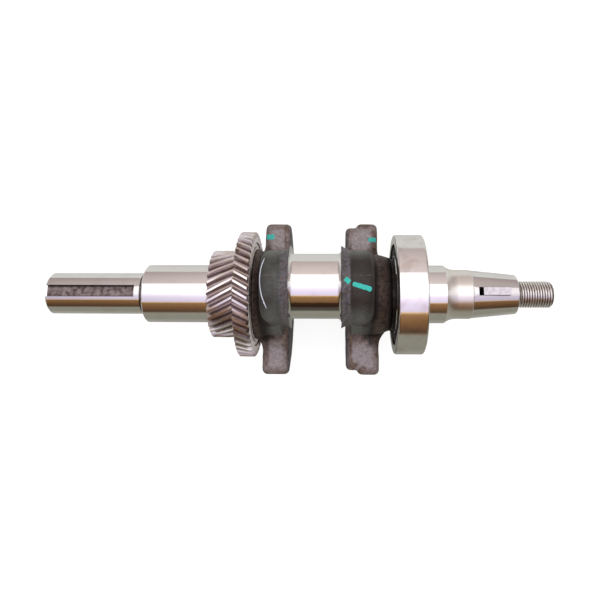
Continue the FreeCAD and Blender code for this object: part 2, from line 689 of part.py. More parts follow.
inner = new_body("InnerRingBody", "bearing_inner_ring")
ring_profile = plane_sketch(inner, "InnerRingProfile", "XZ_Plane")
reach = "sqrt(Dim.groove_rad^2 - (Dim.ball_circle - Dim.ball_rad - Dim.race_gap + Dim.groove_rad" \
        " - Dim.inner_shoulder)^2)"
outline(ring_profile, [
    ("-" + half, "Dim.journal_rad + Dim.inner_corner"),
    ("-" + half, "Dim.inner_shoulder - Dim.ring_edge"),
    ("-" + half + " + Dim.ring_edge", "Dim.inner_shoulder"),
    ("-" + reach, "Dim.inner_shoulder"),
    (reach, "Dim.inner_shoulder"),
    (half + " - Dim.ring_edge", "Dim.inner_shoulder"),
    (half, "Dim.inner_shoulder - Dim.ring_edge"),
    (half, "Dim.journal_rad + Dim.inner_corner"),
    (half + " - Dim.inner_corner", "Dim.journal_rad"),
    ("-" + half + " + Dim.inner_corner", "Dim.journal_rad"),
], {3: ("0", "Dim.ball_circle - Dim.ball_rad - Dim.race_gap")})
revolve(inner, "InnerRing", ring_profile)

cage = new_body("CageBody", "ball_cage")
ring_profile = plane_sketch(cage, "CageProfile", "XZ_Plane")
outline(ring_profile, [
    ("Dim.cage_left", "Dim.cage_in + Dim.ring_edge"),
    ("Dim.cage_left", "Dim.cage_out - Dim.ring_edge"),
    ("Dim.cage_left + Dim.ring_edge", "Dim.cage_out"),
    ("Dim.cage_right", "Dim.cage_out"),
    ("Dim.cage_right", "Dim.cage_in"),
    ("Dim.cage_left + Dim.ring_edge", "Dim.cage_in"),
])
revolve(cage, "CageRing", ring_profile)
# each pocket is a sphere a little bigger than its ball, open towards +X
pocket_profile = plane_sketch(cage, "CagePocketProfile", "XY_Plane", "Dim.ball_circle")
outline(pocket_profile, [
    ("-Dim.cage_pocket", "0"),
    ("Dim.cage_pocket", "0"),
], {0: ("0", "Dim.cage_pocket")})
pocket = revolve(cage, "CagePocket", pocket_profile, "PartDesign::Groove")
pockets = cage.newObject("PartDesign::PolarPattern", "CagePockets")
pockets.Originals = [pocket]
pockets.Axis = ([f for f in cage.Origin.OriginFeatures if f.Role == "X_Axis"][0], [""])
pockets.Angle = 360.0
pockets.setExpression("Occurrences", "Dim.ball_count")
cage.Tip = pockets
DOC.recompute()

balls = []
count = int(size("ball_count"))
for number in range(count):
    turn = 2 * math.pi * number / count
    ball = DOC.addObject("Part::Sphere", "Ball%d" % (number + 1))
    ball.Label = "ball_%d" % (number + 1)
    ball.setExpression("Radius", "Dim.ball_rad")
    ball.Placement = FreeCAD.Placement(
        V(0, -size("ball_circle") * math.sin(turn), size("ball_circle") * math.cos(turn)), FreeCAD.Rotation())
    balls.append(ball)

# ---------------------------------------------------------------- Woodruff key
key = new_body("KeyBody", "woodruff_key")
key_profile = plane_sketch(key, "KeyProfile", "XZ_Plane")
flat = "Dim.key_centre_z + Dim.key_height - Dim.key_disc_rad"
half_chord = "sqrt(Dim.key_disc_rad^2 - (Dim.key_height - Dim.key_disc_rad)^2)"
outline(key_profile, [
    (sta("key_centre_x") + " - " + half_chord, flat),
    (sta("key_centre_x") + " + " + half_chord, flat),
], {1: (sta("key_centre_x"), "Dim.key_centre_z - Dim.key_disc_rad")})
pad(key, "KeyDisc", key_profile, "Dim.key_width", middle=True)
DOC.recompute()

parts = [crank, timing, balancer, inner, outer, cage, key] + balls
os.makedirs("parts", exist_ok=True)
for obj in DOC.Objects:
    if "Invalid" in obj.State or "Error" in obj.State:
        raise RuntimeError("%s is %s" % (obj.Name, obj.State))
for obj in parts:
    shape = obj.Shape
    if shape.isNull() or not shape.isValid() or len(shape.Solids) != 1:
        raise RuntimeError("%s has a bad shape" % obj.Label)
    shape.exportStep("parts/%s.step" % obj.Label)
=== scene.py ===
import json
import math

import bmesh
import bpy
import numpy as np
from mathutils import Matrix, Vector
from mathutils.bvhtree import BVHTree
from mathutils import noise


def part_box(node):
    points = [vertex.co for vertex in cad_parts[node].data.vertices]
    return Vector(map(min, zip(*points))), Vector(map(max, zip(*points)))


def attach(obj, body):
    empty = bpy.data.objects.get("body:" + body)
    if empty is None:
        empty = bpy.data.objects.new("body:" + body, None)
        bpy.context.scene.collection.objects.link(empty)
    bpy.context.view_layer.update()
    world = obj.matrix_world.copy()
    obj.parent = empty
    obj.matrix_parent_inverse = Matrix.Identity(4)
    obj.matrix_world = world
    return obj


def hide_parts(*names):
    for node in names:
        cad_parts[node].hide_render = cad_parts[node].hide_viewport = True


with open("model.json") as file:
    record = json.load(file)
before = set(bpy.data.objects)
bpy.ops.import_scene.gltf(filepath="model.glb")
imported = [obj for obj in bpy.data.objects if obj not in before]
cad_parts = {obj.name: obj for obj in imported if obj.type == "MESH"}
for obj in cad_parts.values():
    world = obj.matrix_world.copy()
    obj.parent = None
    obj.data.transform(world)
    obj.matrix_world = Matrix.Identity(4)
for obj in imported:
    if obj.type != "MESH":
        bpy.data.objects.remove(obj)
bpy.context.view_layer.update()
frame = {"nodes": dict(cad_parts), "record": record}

MM = 0.001

# ---------------------------------------------------------------- places read from the frame
FLOOR_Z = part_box("crankshaft_forging")[0].z
MOUNTS = {mount["name"]: mount for mount in frame["record"]["mounts"]}
PIN_X = MOUNTS["crankpin"]["pos_m"][0]
PIN_Z = MOUNTS["crankpin"]["pos_m"][2]
GEAR_FACE_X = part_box("balancer_gear")[1].x
RING_FACE_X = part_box("bearing_inner_ring")[0].x
PIN_OFFSET = Vector((PIN_X, 0, 0))

# sizes of the machined zones; those marked "from the pin" are millimetres along the shaft
PIN_HALF = 14.0 * MM
PIN_RADIUS = 18.0 * MM
SHAFT_RADIUS = 12.5 * MM
RING_SHOULDER = 2.2 * MM
JOURNAL_STEP = (-105.7, -103.9)    # from the pin
KEYWAY_LIMIT = -100                # from the pin
NECK = (75.85, 91.3)               # from the pin
KEY_SEAT = (93, 116)               # from the pin
THREAD_START = 119                 # from the pin
GEAR_RADII = {"timing_gear": (26.4, 23.0), "balancer_gear": (37.8, 34.4)}

# the camera looks down on the part, a little from its near side
CAMERA_LENS = 34.81
CAMERA_PLACE = (13.1, -47.9, 352.4)    # from the pin's place on the main axis, in millimetres
CAMERA_TURNS = (12.6, 1.84, 0.41)      # degrees about X, Y and Z, from straight down

# what the marks are laid out from, in millimetres: the ears' reach to each side, the webs' outer
# faces and the +X web's collar, all from the pin
EAR_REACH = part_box("crankshaft_forging")[1].y / MM
WEB_OUTER = (-34.9, 37.6)
COLLAR = PIN_HALF / MM
PARTING_LINE = 3.0 * MM

# finishes of the machined faces, in the order of their materials
GROUND, MILLED, THREADED, SHADED, SATIN = range(5)

# the forging's remesh and the smoothing passes over its edges and its roots
VOXEL = 0.55 * MM
EDGE_PASSES = 4
ROOT_PASSES = 110
BEND_PASSES = 14
BEND_SCALE = 0.007 * MM
DIE_WAVES = ((0.13, 0.11, (0, 0, 0)), (0.42, 0.05, (7, 3, 1)), (1.3, 0.022, (2, 9, 4)))


# ---------------------------------------------------------------- camera, light, floor
def add_camera():
    data = bpy.data.cameras.new("camera")
    data.lens = CAMERA_LENS
    data.sensor_width = 36.0
    data.shift_x = -0.034
    data.shift_y = -0.0921
    data.clip_start = 0.01
    camera = bpy.data.objects.new("camera", data)
    bpy.context.scene.collection.objects.link(camera)
    camera.location = PIN_OFFSET + Vector(CAMERA_PLACE) * MM
    camera.rotation_euler = [math.radians(turn) for turn in CAMERA_TURNS]
    bpy.context.scene.camera = camera


def add_world():
    # a soft tent overhead, a warm wall on the -Y side and a pale wall on the +Y side
    world = bpy.data.worlds.new("studio")
    bpy.context.scene.world = world
    world.use_nodes = True
    tree = world.node_tree
    tree.nodes.clear()
    coords = tree.nodes.new("ShaderNodeTexCoord")
    split = tree.nodes.new("ShaderNodeSeparateXYZ")
    angle = tree.nodes.new("ShaderNodeMath")
    angle.operation = "ARCTAN2"
    spread = tree.nodes.new("ShaderNodeMapRange")
    spread.inputs["From Min"].default_value = -math.pi
    spread.inputs["From Max"].default_value = math.pi
    ramp = tree.nodes.new("ShaderNodeValToRGB")
    tree.links.new(coords.outputs["Generated"], split.inputs[0])
    tree.links.new(split.outputs["Y"], angle.inputs[0])
    tree.links.new(split.outputs["Z"], angle.inputs[1])
    tree.links.new(angle.outputs[0], spread.inputs["Value"])
    tree.links.new(spread.outputs["Result"], ramp.inputs["Fac"])
    stops = [
        # degrees from overhead towards +Y, colour
        (-180, (0.5, 0.5, 0.5)),
        (-92, (0.20, 0.17, 0.13)),
        (-84, (0.055, 0.033, 0.020)),
        (-66, (0.120, 0.062, 0.028)),
        (-46, (0.200, 0.108, 0.045)),
        (-43.5, (0.34, 0.21, 0.075)),
        (-42, (0.62, 0.45, 0.19)),
        (-40.5, (0.48, 0.43, 0.55)),
        (-20, (0.62, 0.56, 0.68)),
        (-4, (0.92, 0.90, 0.95)),
        (6, (1.0, 1.0, 1.0)),
        (28, (0.90, 0.86, 0.88)),
        (33, (0.80, 0.74, 0.74)),
        (34.5, (0.26, 0.22, 0.22)),
        (36.5, (0.46, 0.40, 0.385)),
        (60, (0.40, 0.345, 0.33)),
        (88, (0.30, 0.255, 0.245)),
        (94, (0.45, 0.45, 0.44)),
        (180, (0.5, 0.5, 0.5)),
    ]
    ramp.color_ramp.interpolation = "LINEAR"
    while len(ramp.color_ramp.elements) > 1:
        ramp.color_ramp.elements.remove(ramp.color_ramp.elements[-1])
    for number, (degrees, colour) in enumerate(stops):
        place = (degrees + 180) / 360
        stop = ramp.color_ramp.elements[0] if number == 0 else ramp.color_ramp.elements.new(place)
        stop.position = place
        stop.color = (*colour, 1)
    lit = tree.nodes.new("ShaderNodeBackground")
    lit.inputs["Strength"].default_value = 1.75
    # the tent ends some way out along the shaft, so it fades there
    reach = tree.nodes.new("ShaderNodeMath")
    reach.operation = "ABSOLUTE"
    fade = tree.nodes.new("ShaderNodeMapRange")
    fade.interpolation_type = "SMOOTHSTEP"
    fade.inputs["From Min"].default_value = 0.10
    fade.inputs["From Max"].default_value = 0.55
    fade.inputs["To Min"].default_value = 1.0
    fade.inputs["To Max"].default_value = 0.62
    dim = tree.nodes.new("ShaderNodeMix")
    dim.data_type = "RGBA"
    dim.blend_type = "MULTIPLY"
    dim.inputs["Factor"].default_value = 1.0
    tree.links.new(split.outputs["X"], reach.inputs[0])
    tree.links.new(reach.outputs[0], fade.inputs["Value"])
    tree.links.new(ramp.outputs["Color"], dim.inputs[6])
    tree.links.new(fade.outputs["Result"], dim.inputs[7])
    tree.links.new(dim.outputs[2], lit.inputs["Color"])
    # matt surfaces are lit evenly, as by the many soft lamps of a product studio
    even = tree.nodes.new("ShaderNodeBackground")
    even.inputs["Color"].default_value = (1.0, 0.985, 0.97, 1)
    even.inputs["Strength"].default_value = 1.30
    soften = tree.nodes.new("ShaderNodeMixShader")
    seen = tree.nodes.new("ShaderNodeBackground")
    seen.inputs["Color"].default_value = (1, 1, 1, 1)
    seen.inputs["Strength"].default_value = 1.0
    path = tree.nodes.new("ShaderNodeLightPath")
    mix = tree.nodes.new("ShaderNodeMixShader")
    out = tree.nodes.new("ShaderNodeOutputWorld")
    tree.links.new(path.outputs["Is Diffuse Ray"], soften.inputs[0])
    tree.links.new(lit.outputs[0], soften.inputs[1])
    tree.links.new(even.outputs[0], soften.inputs[2])
    tree.links.new(path.outputs["Is Camera Ray"], mix.inputs[0])
    tree.links.new(soften.outputs[0], mix.inputs[1])
    tree.links.new(seen.outputs[0], mix.inputs[2])
    tree.links.new(mix.outputs[0], out.inputs["Surface"])


def add_floor():
    half = 4.0
    mesh = bpy.data.meshes.new("floor")
    corners = [(-half, -half, FLOOR_Z), (half, -half, FLOOR_Z), (half, half, FLOOR_Z), (-half, half, FLOOR_Z)]
    mesh.from_pydata(corners, [], [(0, 1, 2, 3)])
    floor = bpy.data.objects.new("floor", mesh)
    bpy.context.scene.collection.objects.link(floor)
    pale = bpy.data.materials.new("floor_white")
    pale.use_nodes = True
    tree = pale.node_tree
    paper = tree.nodes["Principled BSDF"]
    paper.inputs["Base Color"].default_value = (0.30, 0.30, 0.30, 1)
    paper.inputs["Roughness"].default_value = 0.9
    paper.inputs["Emission Color"].default_value = (1, 1, 1, 1)
    paper.inputs["Emission Strength"].default_value = 0.80
    # what the bright steel mirrors is the same floor without its own light, dimmer on the -Y side
    matt = tree.nodes.new("ShaderNodeBsdfDiffuse")
    coords = tree.nodes.new("ShaderNodeTexCoord")
    split = tree.nodes.new("ShaderNodeSeparateXYZ")
    spread = tree.nodes.new("ShaderNodeMapRange")
    spread.inputs["From Min"].default_value = -0.10
    spread.inputs["From Max"].default_value = 0.08
    ramp = tree.nodes.new("ShaderNodeMix")
    ramp.data_type = "RGBA"
    ramp.inputs[6].default_value = (0.235, 0.235, 0.195, 1)
    ramp.inputs[7].default_value = (0.58, 0.59, 0.57, 1)
    path = tree.nodes.new("ShaderNodeLightPath")
    mix = tree.nodes.new("ShaderNodeMixShader")
    tree.links.new(coords.outputs["Object"], split.inputs[0])
    tree.links.new(split.outputs["Y"], spread.inputs["Value"])
    tree.links.new(spread.outputs["Result"], ramp.inputs["Factor"])
    tree.links.new(ramp.outputs[2], matt.inputs["Color"])
    tree.links.new(path.outputs["Is Camera Ray"], mix.inputs[0])
    tree.links.new(matt.outputs[0], mix.inputs[1])
    tree.links.new(paper.outputs[0], mix.inputs[2])
    tree.links.new(mix.outputs[0], tree.nodes["Material Output"].inputs["Surface"])
    mesh.materials.append(pale)


# ---------------------------------------------------------------- node helpers
class Shader:
    """A small hand for writing node trees: every texture is measured in millimetres."""

    def __init__(self, name):
        self.material = bpy.data.materials.new(name)
        self.material.use_nodes = True
        self.tree = self.material.node_tree
        self.surface = self.tree.nodes["Principled BSDF"]
        coords = self.tree.nodes.new("ShaderNodeTexCoord")
        self.coords = coords.outputs["Object"]
        split = self.tree.nodes.new("ShaderNodeSeparateXYZ")
        self.tree.links.new(self.coords, split.inputs[0])
        self.x, self.y, self.z = split.outputs

    def link(self, value, socket):
        if isinstance(value, (int, float)):
            socket.default_value = value
        elif isinstance(value, tuple):
            socket.default_value = (*value, 1)
        else:
            self.tree.links.new(value, socket)

    def math(self, operation, a, b=0.0):
        node = self.tree.nodes.new("ShaderNodeMath")
        node.operation = operation
        self.link(a, node.inputs[0])
        self.link(b, node.inputs[1])
        return node.outputs[0]

    def ramp(self, value, low_end, high_end, low_out=0.0, high_out=1.0):
        node = self.tree.nodes.new("ShaderNodeMapRange")
        node.interpolation_type = "SMOOTHSTEP"
        self.link(value, node.inputs["Value"])
        node.inputs["From Min"].default_value = low_end
        node.inputs["From Max"].default_value = high_end
        node.inputs["To Min"].default_value = low_out
        node.inputs["To Max"].default_value = high_out
        return node.outputs["Result"]

    def noise(self, per_mm, detail=2.0, stretch=(1, 1, 1), rough=0.5, shift=0.0):
        place = self.tree.nodes.new("ShaderNodeMapping")
        place.inputs["Scale"].default_value = [per_mm * s / MM for s in stretch]
        place.inputs["Location"].default_value = (shift, shift * 0.7, -shift)
        self.tree.links.new(self.coords, place.inputs["Vector"])
        node = self.tree.nodes.new("ShaderNodeTexNoise")
        node.inputs["Scale"].default_value = 1.0
        node.inputs["Detail"].default_value = detail
        node.inputs["Roughness"].default_value = rough
        self.tree.links.new(place.outputs[0], node.inputs["Vector"])
        return node.outputs["Fac"]

    def mix(self, factor, a, b):
        node = self.tree.nodes.new("ShaderNodeMix")
        node.data_type = "RGBA"
        self.link(factor, node.inputs["Factor"])
        self.link(a, node.inputs[6])
        self.link(b, node.inputs[7])
        return node.outputs[2]

    def attribute(self, name):
        node = self.tree.nodes.new("ShaderNodeAttribute")
        node.attribute_name = name
        return node.outputs["Fac"]

    def bump(self, height, depth_mm, strength=1.0, after=None):
        node = self.tree.nodes.new("ShaderNodeBump")
        node.inputs["Strength"].default_value = strength
        node.inputs["Distance"].default_value = depth_mm * MM
        self.link(height, node.inputs["Height"])
        if after is not None:
            self.tree.links.new(after, node.inputs["Normal"])
        return node.outputs["Normal"]

    def radius(self, centre_z=0.0):
        # distance from an axis parallel to X, in metres
        up = self.math("SUBTRACT", self.z, centre_z)
        total = self.math("ADD", self.math("MULTIPLY", self.y, self.y), self.math("MULTIPLY", up, up))
        return self.math("SQRT", total)

    def pin_film(self):
        # a dried oil film along the lower front of the crankpin, with a ragged edge
        turn = self.math("ARCTAN2", self.y, self.math("SUBTRACT", self.z, PIN_Z))
        ragged = self.math("MULTIPLY", self.noise(0.25, 3.0, (1, 1, 1), 0.6, 31.0), 0.05)
        turn = self.math("ADD", turn, ragged)
        band = self.math("MULTIPLY", self.ramp(turn, -0.98, -0.90), self.ramp(turn, -0.60, -0.66))
        near_pin = self.ramp(self.radius(PIN_Z), PIN_RADIUS + 0.4 * MM, PIN_RADIUS + 0.2 * MM)
        return self.math("MULTIPLY", band, near_pin)

    def step_shade(self):
        # painted shadow: a black band on the output shaft beside the step up to its journal
        along = self.math("ABSOLUTE", self.math("SUBTRACT", self.x, PIN_X - 105.3 * MM))
        along = self.ramp(along, 1.5 * MM, 1.1 * MM)
        on_shaft = self.ramp(self.radius(), SHAFT_RADIUS + 0.2 * MM, SHAFT_RADIUS + 0.1 * MM)
        return self.math("MULTIPLY", along, on_shaft)

    def side_face(self):
        # 1 on faces that look along the shaft, 0 elsewhere
        node = self.tree.nodes.new("ShaderNodeTexCoord")
        split = self.tree.nodes.new("ShaderNodeSeparateXYZ")
        self.tree.links.new(node.outputs["Normal"], split.inputs[0])
        return self.ramp(self.math("ABSOLUTE", split.outputs["X"]), 0.90, 0.97)

    def finish(self, colour, roughness, metallic, normal=None, **constants):
        self.link(colour, self.surface.inputs["Base Color"])
        self.link(roughness, self.surface.inputs["Roughness"])
        self.link(metallic, self.surface.inputs["Metallic"])
        if normal is not None:
            self.tree.links.new(normal, self.surface.inputs["Normal"])
        for name, value in constants.items():
            self.surface.inputs[name.replace("_", " ")].default_value = value
        return self.material


# ---------------------------------------------------------------- materials
def ground_steel(name, tone=(0.86, 0.84, 0.83), dull=0.0):
    # cylindrical grinding: fine rings round the shaft, faint stains, handling scratches and a painted shadow
    # beside the output shaft's step
    s = Shader(name)
    rings = s.noise(7.0, 3.0, (1, 0.02, 0.02), 0.6)
    coarse = s.noise(0.8, 2.0, (1, 0.03, 0.03), 0.5, 3.0)
    cloud = s.noise(0.09, 4.0, (1, 1, 1), 0.55, 7.0)
    scratch = s.ramp(s.noise(0.55, 1.0, (0.5, 9, 9), 0.4, 11.0), 0.72, 0.78)
    stain = s.ramp(cloud, 0.52, 0.70)
    dark = tuple(c * f for c, f in zip(tone, (0.86, 0.80, 0.76)))
    colour = s.mix(s.math("MULTIPLY", stain, 0.35), tone, dark)
    colour = s.mix(s.math("MULTIPLY", scratch, 0.25), colour, (0.95, 0.94, 0.93))
    colour = s.mix(s.math("MULTIPLY", s.pin_film(), 0.80), colour, (0.08, 0.06, 0.05))
    # painted shadow beside the output shaft's step
    colour = s.mix(s.math("MULTIPLY", s.step_shade(), 0.92), colour, (0.030, 0.024, 0.022))
    rough = s.ramp(coarse, 0.35, 0.65, 0.075 + dull, 0.135 + dull)
    rough = s.math("ADD", rough, s.math("MULTIPLY", stain, 0.035))
    rough = s.math("ADD", rough, s.math("MULTIPLY", scratch, 0.08))
    normal = s.bump(rings, 0.004, 0.35)
    normal = s.bump(coarse, 0.006, 0.25, normal)
    return s.finish(colour, rough, 1.0, normal)


def milled_steel(name):
    # keyway and key seat: dull, mottled with cutter marks, with painted shade along the walls
    s = Shader(name)
    cloud = s.noise(0.35, 4.0, (1, 1, 1), 0.6)
    grain = s.noise(2.6, 3.0, (1, 1, 1), 0.6, 5.0)
    marks = s.noise(1.6, 1.0, (0.25, 3, 3), 0.5, 9.0)
    colour = s.mix(s.ramp(cloud, 0.36, 0.66), (0.270, 0.215, 0.218), (0.080, 0.055, 0.050))
    colour = s.mix(s.ramp(grain, 0.58, 0.80, 0.0, 0.45), colour, (0.52, 0.46, 0.48))
    # painted shade: darker along the slot walls
    wall_shade = s.ramp(s.math("ABSOLUTE", s.y), 2.2 * MM, 3.40 * MM)
    colour = s.mix(s.math("MULTIPLY", wall_shade, 0.8), colour, (0.030, 0.022, 0.020))
    rough = s.ramp(grain, 0.3, 0.7, 0.28, 0.52)
    normal = s.bump(grain, 0.05, 0.5)
    normal = s.bump(marks, 0.03, 0.4, normal)
    return s.finish(colour, rough, 1.0, normal)


def forged_steel(name):
    # scaled forging skin: lilac-grey ears with brown edges and feet, the feet deepened by painted shade, dark
    # grey lobes with painted highlights on their flanks and painted shade at their ends, earthy bosses with
    # painted shadow by the bearing and the lobes, roots black with painted shade, and a blue and rusty heat
    # tint on the collars beside the crankpin
    s = Shader(name)
    edge = s.attribute("edge")
    root = s.attribute("root")
    lobe = s.attribute("lobe")
    boss = s.attribute("boss")
    collar = s.attribute("collar")
    cloud = s.noise(0.12, 4.0, (1, 1, 1), 0.6)
    patch = s.noise(0.45, 5.0, (1, 1, 1), 0.65, 4.0)
    grain = s.noise(2.4, 4.0, (1, 1, 1), 0.7, 8.0)
    pit = s.ramp(s.noise(1.1, 2.0, (1, 1, 1), 0.5, 15.0), 0.62, 0.74)
    speckle = s.noise(1.7, 2.0, (1, 1, 1), 0.7, 26.0)
    ear = s.mix(s.ramp(patch, 0.35, 0.72), (0.345, 0.298, 0.306), (0.270, 0.229, 0.235))
    brown = s.mix(s.ramp(patch, 0.4, 0.65), (0.155, 0.088, 0.050), (0.075, 0.045, 0.030))
    dark = s.mix(s.ramp(cloud, 0.42, 0.62), (0.088, 0.094, 0.087), (0.064, 0.063, 0.058))
    patchy = s.ramp(cloud, 0.42, 0.60, 0.40, 1.0)
    edge_brown = s.math("MULTIPLY", s.ramp(edge, 0.20, 1.0), patchy)
    colour = s.mix(s.math("MULTIPLY", edge_brown, 0.85), ear, brown)
    # the ears brown where they leave the web, deepened by painted shade in the fillet
    foot_scale_and_shade = s.ramp(s.math("ABSOLUTE", s.y), 33 * MM, 26 * MM)
    colour = s.mix(s.math("MULTIPLY", foot_scale_and_shade, 0.75), colour, brown)
    # lobes: grey-green with a painted highlight, paler and grainier, out on the flanks, brown-black on the +X
    # one's crown
    crown = s.math("MULTIPLY", s.ramp(s.z, 36 * MM, 47 * MM), s.ramp(s.x, PIN_X, PIN_X + 18 * MM))
    dark = s.mix(s.math("MULTIPLY", crown, 0.85), dark, (0.034, 0.025, 0.022))
    # painted highlight: the pale grain laid on the lobes' flanks
    pale = s.mix(s.ramp(grain, 0.40, 0.62), (0.085, 0.090, 0.084), (0.235, 0.240, 0.230))
    flank = s.ramp(s.math("ABSOLUTE", s.y), 10.5 * MM, 18.5 * MM, 0.0, 0.80)
    dark = s.mix(flank, dark, pale)
    out = s.math("ABSOLUTE", s.math("SUBTRACT", s.x, PIN_X))
    # painted shade: the lobes darken towards their outer ends, where they turn down into the roots
    dark = s.mix(s.ramp(out, 24.5 * MM, 30 * MM, 0.0, 0.60), dark, (0.024, 0.018, 0.016))
    colour = s.mix(lobe, colour, dark)
    earthy = s.mix(s.ramp(patch, 0.4, 0.66), (0.100, 0.062, 0.046), (0.030, 0.019, 0.015))
    # painted shadow: the bosses black beside the bearing and in a crescent beside each lobe
    ring_shadow = s.ramp(s.x, RING_FACE_X - 5.5 * MM, RING_FACE_X - 2.5 * MM)
    lobe_shadow = s.ramp(out, 35.0 * MM, 31.5 * MM, 0.0, 0.85)
    earthy = s.mix(s.math("MAXIMUM", ring_shadow, lobe_shadow), earthy, (0.006, 0.005, 0.005))
    colour = s.mix(s.math("MULTIPLY", boss, 0.92), colour, earthy)
    tint = s.mix(s.ramp(patch, 0.45, 0.62), (0.165, 0.155, 0.180), (0.082, 0.080, 0.086))
    rust = s.ramp(s.noise(0.9, 3.0, (1, 1, 1), 0.6, 21.0), 0.56, 0.66)
    tint = s.mix(s.math("MULTIPLY", rust, 0.7), tint, (0.240, 0.110, 0.035))
    colour = s.mix(s.math("MULTIPLY", collar, 0.9), colour, tint)
    # painted shade: the concave roots darkened to black away from the pin
    root_shade = s.math("MULTIPLY", root, s.ramp(out, 25 * MM, 29 * MM, 0.15, 0.90))
    colour = s.mix(root_shade, colour, (0.016, 0.011, 0.009))
    flash_line = s.ramp(s.math("ABSOLUTE", s.math("SUBTRACT", s.y, PARTING_LINE)), 0.30 * MM, 0.12 * MM)
    flash_line = s.math("MULTIPLY", flash_line, s.math("MULTIPLY", lobe, s.ramp(patch, 0.42, 0.56)))
    colour = s.mix(s.math("MULTIPLY", flash_line, 0.45), colour, (0.20, 0.20, 0.19))
    colour = s.mix(s.ramp(speckle, 0.50, 0.36, 0.0, 0.55), colour, (0.040, 0.033, 0.031))
    colour = s.mix(s.ramp(grain, 0.56, 0.80, 0.0, 0.38), colour, (0.40, 0.38, 0.37))
    colour = s.mix(s.math("MULTIPLY", pit, 0.40), colour, (0.030, 0.022, 0.018))
    rough = s.ramp(patch, 0.3, 0.7, 0.42, 0.60)
    normal = s.bump(patch, 0.10, 0.55)
    normal = s.bump(grain, 0.07, 0.75, normal)
    return s.finish(colour, rough, 0.5, normal, Specular_IOR_Level=0.5)


def thread_steel(name):
    # rolled thread: bright worn crests over dark oily grooves
    s = Shader(name)
    depth = s.ramp(s.radius(), 7.20 * MM, 7.65 * MM)
    cloud = s.noise(0.5, 3.0, (1, 1, 1), 0.55)
    fine = s.noise(6.0, 3.0, (1, 0.05, 0.05), 0.6, 4.0)
    crest = s.mix(s.ramp(cloud, 0.4, 0.66), (0.97, 0.95, 0.94), (0.84, 0.79, 0.76))
    colour = s.mix(depth, (0.240, 0.200, 0.180), crest)
    rough = s.math("SUBTRACT", s.ramp(fine, 0.3, 0.7, 0.40, 0.52), s.math("MULTIPLY", depth, 0.16))
    return s.finish(colour, rough, 1.0, s.bump(fine, 0.01, 0.4))


def shadowed_steel(name):
    # turned shoulders: painted shade, black by the bearing and half bright at the output end
    s = Shader(name)
    cloud = s.noise(0.3, 4.0, (1, 1, 1), 0.6)
    rings = s.noise(4.0, 2.0, (1, 0.03, 0.03), 0.5, 5.0)
    colour = s.mix(s.ramp(cloud, 0.4, 0.65), (0.020, 0.017, 0.017), (0.045, 0.036, 0.032))
    # the painted shade eased towards the output end
    lighter_at_output = s.ramp(s.x, RING_FACE_X - 30 * MM, RING_FACE_X - 10 * MM, 0.62, 0.0)
    colour = s.mix(lighter_at_output, colour, (0.42, 0.39, 0.38))
    return s.finish(colour, s.ramp(rings, 0.3, 0.7, 0.36, 0.52), 0.8, s.bump(rings, 0.02, 0.5))


def gear_steel(name, tip, root):
    # shaved helical teeth: bright crests, lilac flanks, brown oil tint down in the gaps, and turned side
    # faces that are duller and paler, the paleness partly painted light
    s = Shader(name)
    reach = s.radius()
    crest = s.ramp(reach, tip - 0.5 * MM, tip - 0.15 * MM)
    deep = s.ramp(reach, root + 0.2 * MM, root + 2.4 * MM, 1.0, 0.0)
    face = s.side_face()
    cloud = s.noise(0.16, 4.0, (1, 1, 1), 0.6)
    fine = s.noise(5.0, 3.0, (0.15, 1, 1), 0.6, 3.0)
    turned = s.noise(2.2, 3.0, (1, 1, 1), 0.6, 6.0)
    flank = s.mix(s.ramp(cloud, 0.38, 0.64), (0.72, 0.66, 0.71), (0.60, 0.51, 0.46))
    colour = s.mix(s.math("MULTIPLY", deep, 0.7), flank, (0.30, 0.225, 0.190))
    colour = s.mix(s.math("MULTIPLY", crest, 0.9), colour, (0.80, 0.755, 0.74))
    # painted light: the side faces pale as though lit from the side
    lit_turned_face = s.mix(s.ramp(turned, 0.4, 0.7), (0.94, 0.88, 0.85), (0.84, 0.77, 0.73))
    colour = s.mix(face, colour, lit_turned_face)
    rough = s.math("ADD", s.ramp(fine, 0.3, 0.7, 0.19, 0.32), s.math("MULTIPLY", deep, 0.14))
    rough = s.math("MAXIMUM", rough, s.math("MULTIPLY", face, 0.62))
    normal = s.bump(fine, 0.010, 0.5)
    normal = s.bump(s.math("MULTIPLY", turned, face), 0.02, 0.4, normal)
    return s.finish(colour, rough, s.math("SUBTRACT", 1.0, s.math("MULTIPLY", face, 0.88)), normal)


def ring_steel(name, shaded_black=False):
    # honed bearing steel; the inner ring's side faces are painted black as shade
    s = Shader(name)
    rings = s.noise(6.0, 3.0, (0.02, 1, 1), 0.6)
    cloud = s.noise(0.12, 4.0, (1, 1, 1), 0.55, 7.0)
    fine = s.noise(7.0, 3.0, (1, 0.02, 0.02), 0.6, 3.0)
    colour = s.mix(s.ramp(cloud, 0.45, 0.70), (0.86, 0.84, 0.83), (0.74, 0.69, 0.66))
    rough = s.ramp(rings, 0.3, 0.7, 0.08, 0.15)
    normal = s.bump(fine, 0.003, 0.35)
    if shaded_black:
        face = s.side_face()
        # painted shade: the inner ring's side faces black
        colour = s.mix(face, colour, s.mix(cloud, (0.030, 0.026, 0.025), (0.060, 0.050, 0.046)))
        rough = s.math("MAXIMUM", rough, s.math("MULTIPLY", face, 0.40))
    return s.finish(colour, rough, 1.0, normal)


def ball_steel(name):
    s = Shader(name)
    cloud = s.noise(0.5, 3.0)
    fine = s.noise(9.0, 2.0, (1, 1, 1), 0.5, 4.0)
    colour = s.mix(cloud, (0.90, 0.89, 0.89), (0.80, 0.79, 0.79))
    return s.finish(colour, s.ramp(fine, 0.3, 0.7, 0.03, 0.07), 1.0, s.bump(fine, 0.001, 0.2))


